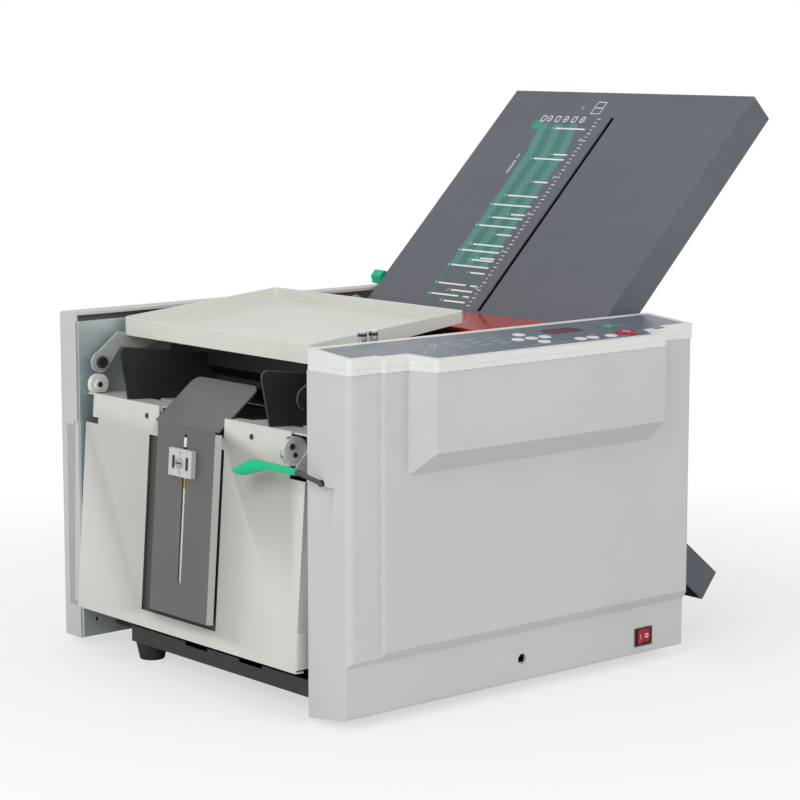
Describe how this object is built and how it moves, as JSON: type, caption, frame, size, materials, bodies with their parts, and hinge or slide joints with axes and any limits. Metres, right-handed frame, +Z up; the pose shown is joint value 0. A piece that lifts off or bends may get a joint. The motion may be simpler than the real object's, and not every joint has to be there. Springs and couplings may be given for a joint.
{
  "type": "paper folding machine",
  "caption": "Desk paper folding machine: friction feed under a hinged tray, folding rollers, two buckle fold plates with sliding stops, keypad and feed lever.",
  "frame": {"origin": "on the ground under the middle of the machine's box", "axes": "+X from the feed end with its tongue and lever to the fold plates, +Y away from the operator's side with the control panel, +Z up"},
  "size_m": [0.6002, 0.4604, 0.514],
  "materials": {
    "cover_plastic": "fine-textured light grey moulding",
    "panel_beige": "light beige powder coat",
    "tray_beige": "light beige moulding",
    "slate_metal": "slate grey powder coat",
    "film": "glossy slate grey keypad film",
    "bezel_plastic": "pale grey moulding",
    "zinc_plate": "blue-passivated zinc",
    "black_steel": "black powder coat",
    "bright_steel": "bright steel",
    "tongue_steel": "satin grey steel",
    "rubber": "black rubber",
    "roller_rubber": "ground dark rubber",
    "white_plastic": "white acetal",
    "gear_plastic": "natural acetal",
    "green_plastic": "green moulding",
    "red_key": "red moulding",
    "red_clear": "translucent red sheet",
    "display_red": "red filtered display",
    "key_white": "white keys",
    "motor_grey": "dark grey motor cans",
    "black_plastic": "black moulding",
    "pad_rubber": "brown friction rubber"
  },
  "bodies": {
    "root": {"base_pan": "black_steel", "feet": "rubber", "side_frame_front": "zinc_plate", "side_frame_rear": "zinc_plate", "cross_ties": "bright_steel", "front_cover": "cover_plastic", "rear_cover": "cover_plastic", "control_bezel": "bezel_plastic", "control_overlay": "film", "display_board": "display_red", "feed_table": "panel_beige", "feed_end_panel": "panel_beige", "clamp_block": "white_plastic", "steel_brackets": "bright_steel", "separation_pad": "pad_rubber", "paper_chutes": "black_steel", "roller_bearings": "gear_plastic", "main_motor": "motor_grey", "feed_motor": "motor_grey", "drive_belt": "rubber", "power_inlet": "black_plastic", "switch_bezel": "black_plastic", "rear_panel": "panel_beige", "frame_screws": "black_steel", "fold_plate_1": "slate_metal", "fold_plate_2": "slate_metal"},
    "tray": {"top_tray": "tray_beige", "tray_arms": "bezel_plastic"},
    "guard": {"red_guard": "red_clear"},
    "stop_1": {"fold_stop_1": "bright_steel"},
    "stop_knob": {"stop_knob_1": "green_plastic"},
    "stop_2": {"fold_stop_2": "bright_steel"},
    "feed_roller": {"feed_roller": "roller_rubber"},
    "motor_shaft": {"motor_pulley": "bright_steel"},
    "roller_1": {"fold_roller_1": "roller_rubber", "fold_gear_1": "gear_plastic"},
    "roller_2": {"fold_roller_2": "roller_rubber", "fold_gear_2": "gear_plastic"},
    "roller_3": {"fold_roller_3": "roller_rubber", "fold_gear_3": "gear_plastic"},
    "roller_4": {"fold_roller_4": "roller_rubber", "fold_gear_4": "gear_plastic"},
    "lift_plate": {"lift_plate": "bright_steel"},
    "left_guide": {"side_guide_left": "black_steel"},
    "right_guide": {"side_guide_right": "black_steel"},
    "tongue": {"support_tongue": "tongue_steel"},
    "clamp_screw": {"clamp_screw": "bright_steel"},
    "lever": {"feed_lever": "bright_steel", "lever_grip": "green_plastic"},
    "rocker": {"power_rocker": "red_key"},
    "start_button": {"start_button": "green_plastic"},
    "stop_button": {"stop_button": "red_key"},
    "key_1": {"key_1": "key_white"},
    "key_2": {"key_2": "key_white"},
    "key_3": {"key_3": "key_white"},
    "key_4": {"key_4": "key_white"},
    "key_5": {"key_5": "key_white"},
    "key_6": {"key_6": "key_white"},
    "key_7": {"key_7": "key_white"},
    "key_8": {"key_8": "key_white"}
  },
  "joints": [
    {"name": "tray_hinge", "type": "hinge", "parent": "root", "child": "tray", "pos_m": [-0.2611, 0.0278, 0.271], "axis": [0, -1, 0], "range_deg": [0, 75]},
    {"name": "guard_hinge", "type": "hinge", "parent": "root", "child": "guard", "pos_m": [0.0579, 0.0278, 0.303], "axis": [0, 1, 0], "range_deg": [0, 60]},
    {"name": "stop_1_slide", "type": "slide", "parent": "root", "child": "stop_1", "axis": [0.7071, 0, 0.7071], "range_m": [0, 0.224]},
    {"name": "stop_knob_turn", "type": "hinge", "parent": "stop_1", "child": "stop_knob", "pos_m": [0.0967, 0.0278, 0.32609], "axis": [0, 1, 0], "range_deg": [0, 180]},
    {"name": "stop_2_slide", "type": "slide", "parent": "root", "child": "stop_2", "axis": [0.7771, 0, -0.6293], "range_m": [0, 0.072]},
    {"name": "feed_roller_spin", "type": "hinge", "parent": "root", "child": "feed_roller", "pos_m": [-0.1561, 0.0278, 0.27717], "axis": [0, 1, 0], "continuous": true},
    {"name": "roller_2_spin", "type": "hinge", "parent": "root", "child": "roller_2", "pos_m": [0.00668, 0.0278, 0.21103], "axis": [0, 1, 0], "continuous": true},
    {"name": "roller_1_spin", "type": "hinge", "parent": "root", "child": "roller_1", "pos_m": [-0.01807, 0.0278, 0.23578], "axis": [0, 1, 0], "continuous": true},
    {"name": "roller_3_spin", "type": "hinge", "parent": "root", "child": "roller_3", "pos_m": [0.03228, 0.0278, 0.2349], "axis": [0, 1, 0], "continuous": true},
    {"name": "roller_4_spin", "type": "hinge", "parent": "root", "child": "roller_4", "pos_m": [0.03269, 0.0278, 0.18761], "axis": [0, 1, 0], "continuous": true},
    {"name": "motor_spin", "type": "hinge", "parent": "root", "child": "motor_shaft", "pos_m": [0.0219, 0.0278, 0.066], "axis": [0, 1, 0], "continuous": true},
    {"name": "lever_hinge", "type": "hinge", "parent": "root", "child": "lever", "pos_m": [-0.2781, -0.1642, 0.206], "axis": [1, 0, 0], "range_deg": [0, 46]},
    {"name": "lift_plate_hinge", "type": "hinge", "parent": "root", "child": "lift_plate", "pos_m": [-0.2441, 0.0278, 0.23482], "axis": [0, -1, 0], "range_deg": [0, 16]},
    {"name": "left_guide_slide", "type": "slide", "parent": "root", "child": "left_guide", "axis": [0, -1, 0], "range_m": [-0.037, 0.035]},
    {"name": "right_guide_slide", "type": "slide", "parent": "root", "child": "right_guide", "axis": [0, 1, 0], "range_m": [-0.037, 0.035]},
    {"name": "tongue_slide", "type": "slide", "parent": "root", "child": "tongue", "axis": [0.0732, 0, 0.9973], "range_m": [0, 0.026]},
    {"name": "clamp_screw_turn", "type": "hinge", "parent": "root", "child": "clamp_screw", "pos_m": [-0.27444, 0.0278, 0.19808], "axis": [0.9973, 0, -0.0732], "range_deg": [0, 180]},
    {"name": "power_rocker_tilt", "type": "hinge", "parent": "root", "child": "rocker", "pos_m": [0.0749, -0.1885, 0.026], "axis": [0, 0, 1], "range_deg": [-12, 0]},
    {"name": "start_button_press", "type": "slide", "parent": "root", "child": "start_button", "axis": [0, 0.0872, -0.9962], "range_m": [0, 0.0012], "stiffness_N_per_m": 300, "springref_m": -0.001},
    {"name": "stop_button_press", "type": "slide", "parent": "root", "child": "stop_button", "axis": [0, 0.0872, -0.9962], "range_m": [0, 0.0012], "stiffness_N_per_m": 300, "springref_m": -0.001},
    {"name": "key_1_press", "type": "slide", "parent": "root", "child": "key_1", "axis": [0, 0.0872, -0.9962], "range_m": [0, 0.0012], "stiffness_N_per_m": 300, "springref_m": -0.001},
    {"name": "key_2_press", "type": "slide", "parent": "root", "child": "key_2", "axis": [0, 0.0872, -0.9962], "range_m": [0, 0.0012], "stiffness_N_per_m": 300, "springref_m": -0.001},
    {"name": "key_3_press", "type": "slide", "parent": "root", "child": "key_3", "axis": [0, 0.0872, -0.9962], "range_m": [0, 0.0012], "stiffness_N_per_m": 300, "springref_m": -0.001},
    {"name": "key_4_press", "type": "slide", "parent": "root", "child": "key_4", "axis": [0, 0.0872, -0.9962], "range_m": [0, 0.0012], "stiffness_N_per_m": 300, "springref_m": -0.001},
    {"name": "key_5_press", "type": "slide", "parent": "root", "child": "key_5", "axis": [0, 0.0872, -0.9962], "range_m": [0, 0.0012], "stiffness_N_per_m": 300, "springref_m": -0.001},
    {"name": "key_6_press", "type": "slide", "parent": "root", "child": "key_6", "axis": [0, 0.0872, -0.9962], "range_m": [0, 0.0012], "stiffness_N_per_m": 300, "springref_m": -0.001},
    {"name": "key_7_press", "type": "slide", "parent": "root", "child": "key_7", "axis": [0, 0.0872, -0.9962], "range_m": [0, 0.0012], "stiffness_N_per_m": 300, "springref_m": -0.001},
    {"name": "key_8_press", "type": "slide", "parent": "root", "child": "key_8", "axis": [0, 0.0872, -0.9962], "range_m": [0, 0.0012], "stiffness_N_per_m": 300, "springref_m": -0.001}
  ],
  "couplings": [
    {"joint": "roller_1_spin", "follows": "roller_2_spin", "ratio": -1},
    {"joint": "roller_3_spin", "follows": "roller_2_spin", "ratio": -1},
    {"joint": "roller_4_spin", "follows": "roller_2_spin", "ratio": -1},
    {"joint": "motor_spin", "follows": "roller_2_spin", "ratio": 1.6667},
    {"joint": "lift_plate_hinge", "follows": "lever_hinge", "ratio": 0.34783},
    {"joint": "right_guide_slide", "follows": "left_guide_slide", "ratio": 1}
  ]
}
